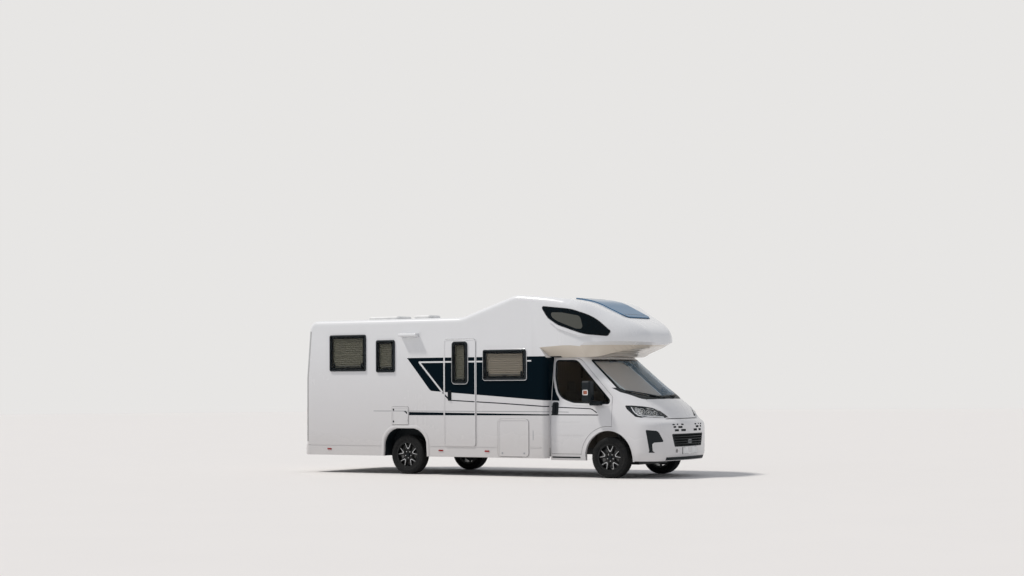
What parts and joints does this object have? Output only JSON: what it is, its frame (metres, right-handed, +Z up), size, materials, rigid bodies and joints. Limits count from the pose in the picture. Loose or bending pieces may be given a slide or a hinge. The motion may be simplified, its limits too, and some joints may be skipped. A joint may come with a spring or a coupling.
{
  "type": "overcab motorhome",
  "caption": "Coach-built overcab motorhome on a van cab, with a sleeping alcove over the cab, opening doors and hatches, steered front wheels and turning wheels.",
  "frame": {"origin": "centre of the footprint at ground level, on the plane the tyres stand on", "axes": "+X forward along the vehicle, +Y to its left side, +Z up"},
  "size_m": [7.285, 2.57, 3.1091],
  "materials": {
    "body_white": "gloss",
    "cab_white": "gloss",
    "window_acrylic": "gloss",
    "cab_glass": "gloss",
    "black_plastic": "satin",
    "grey_plastic": "satin",
    "lamp_clear": "gloss",
    "lamp_red": "gloss",
    "floor_board": "matt",
    "chassis_steel": "satin",
    "engine_metal": "matt",
    "seat_fabric": "matt",
    "tyre_rubber": "matt",
    "rim_black": "gloss"
  },
  "bodies": {
    "motorhome": {"alcove_rooflight": "window_acrylic", "alcove_shell": "body_white", "alcove_windows": "window_acrylic", "awning_lamp": "grey_plastic", "bulkhead": "body_white", "cab_floor": "floor_board", "cab_frame": "cab_white", "cab_seats": "seat_fabric", "chassis_frame": "chassis_steel", "cowl": "black_plastic", "dashboard": "grey_plastic", "engine_block": "engine_metal", "exhaust": "chassis_steel", "front_bumper": "cab_white", "front_grilles": "black_plastic", "front_subframe": "chassis_steel", "front_wings": "cab_white", "fuel_tank": "black_plastic", "habitation_floor": "floor_board", "headlamps": "lamp_clear", "radiator": "black_plastic", "rear_axle": "chassis_steel", "rear_bumper": "body_white", "rear_lamps": "lamp_red", "rear_wall": "body_white", "roof_panel": "body_white", "roof_vents": "grey_plastic", "side_skirts": "body_white", "side_vents": "grey_plastic", "side_wall_left": "body_white", "side_wall_right": "body_white", "side_windows": "window_acrylic", "steering_wheel": "black_plastic", "towing_points": "chassis_steel", "waste_tank": "black_plastic", "wheel_boxes": "floor_board", "windscreen": "cab_glass", "wipers": "black_plastic"},
    "steer_right": {"knuckle_right": "chassis_steel"},
    "steer_left": {"knuckle_left": "chassis_steel"},
    "cab_door_right_body": {"cab_door_right": "cab_white", "cab_door_glass_right": "cab_glass", "mirror_right": "black_plastic"},
    "cab_door_left_body": {"cab_door_left": "cab_white", "cab_door_glass_left": "cab_glass", "mirror_left": "black_plastic"},
    "entry_door_body": {"entry_door": "body_white", "entry_door_window": "window_acrylic"},
    "locker_body": {"locker_hatch": "body_white"},
    "cassette_body": {"cassette_hatch": "body_white"},
    "garage_body": {"garage_door": "body_white"},
    "bonnet_body": {"bonnet": "cab_white"},
    "wheel_front_right": {"tyre_front_right": "tyre_rubber", "rim_front_right": "rim_black"},
    "wheel_front_left": {"tyre_front_left": "tyre_rubber", "rim_front_left": "rim_black"},
    "wheel_rear_right": {"tyre_rear_right": "tyre_rubber", "rim_rear_right": "rim_black"},
    "wheel_rear_left": {"tyre_rear_left": "tyre_rubber", "rim_rear_left": "rim_black"}
  },
  "joints": [
    {"name": "steer_left_turn", "type": "hinge", "parent": "motorhome", "child": "steer_left", "pos_m": [2.6425, 0.83, 0.345], "axis": [0, 0, 1], "range_deg": [-35, 35]},
    {"name": "steer_right_turn", "type": "hinge", "parent": "motorhome", "child": "steer_right", "pos_m": [2.6425, -0.83, 0.345], "axis": [0, 0, 1], "range_deg": [-35, 35]},
    {"name": "wheel_front_right_spin", "type": "hinge", "parent": "steer_right", "child": "wheel_front_right", "pos_m": [2.6425, -0.905, 0.345], "axis": [0, 1, 0], "continuous": true},
    {"name": "wheel_front_left_spin", "type": "hinge", "parent": "steer_left", "child": "wheel_front_left", "pos_m": [2.6425, 0.905, 0.345], "axis": [0, 1, 0], "continuous": true},
    {"name": "wheel_rear_right_spin", "type": "hinge", "parent": "motorhome", "child": "wheel_rear_right", "pos_m": [-1.3925, -0.99, 0.345], "axis": [0, 1, 0], "continuous": true},
    {"name": "wheel_rear_left_spin", "type": "hinge", "parent": "motorhome", "child": "wheel_rear_left", "pos_m": [-1.3925, 0.99, 0.345], "axis": [0, 1, 0], "continuous": true},
    {"name": "cab_door_right_swing", "type": "hinge", "parent": "motorhome", "child": "cab_door_right_body", "pos_m": [2.6935, -1.0285, 1.1], "axis": [0, 0, 1], "range_deg": [0, 68]},
    {"name": "cab_door_left_swing", "type": "hinge", "parent": "motorhome", "child": "cab_door_left_body", "pos_m": [2.6935, 1.0285, 1.1], "axis": [0, 0, -1], "range_deg": [0, 68]},
    {"name": "entry_door_swing", "type": "hinge", "parent": "motorhome", "child": "entry_door_body", "pos_m": [0.1005, -1.163, 1.4], "axis": [0, 0, 1], "range_deg": [0, 110]},
    {"name": "locker_lift", "type": "hinge", "parent": "motorhome", "child": "locker_body", "pos_m": [0.8505, -1.159, 0.991], "axis": [-1, 0, 0], "range_deg": [0, 90]},
    {"name": "cassette_swing", "type": "hinge", "parent": "motorhome", "child": "cassette_body", "pos_m": [-1.3165, -1.159, 1.035], "axis": [0, 0, 1], "range_deg": [0, 100]},
    {"name": "garage_swing", "type": "hinge", "parent": "motorhome", "child": "garage_body", "pos_m": [-2.3045, 1.159, 1.09], "axis": [0, 0, -1], "range_deg": [0, 100]},
    {"name": "bonnet_lift", "type": "hinge", "parent": "motorhome", "child": "bonnet_body", "pos_m": [3.1385, 0, 1.322], "axis": [0, -1, 0], "range_deg": [0, 55]}
  ],
  "couplings": [
    {"joint": "steer_right_turn", "follows": "steer_left_turn", "ratio": 1}
  ]
}
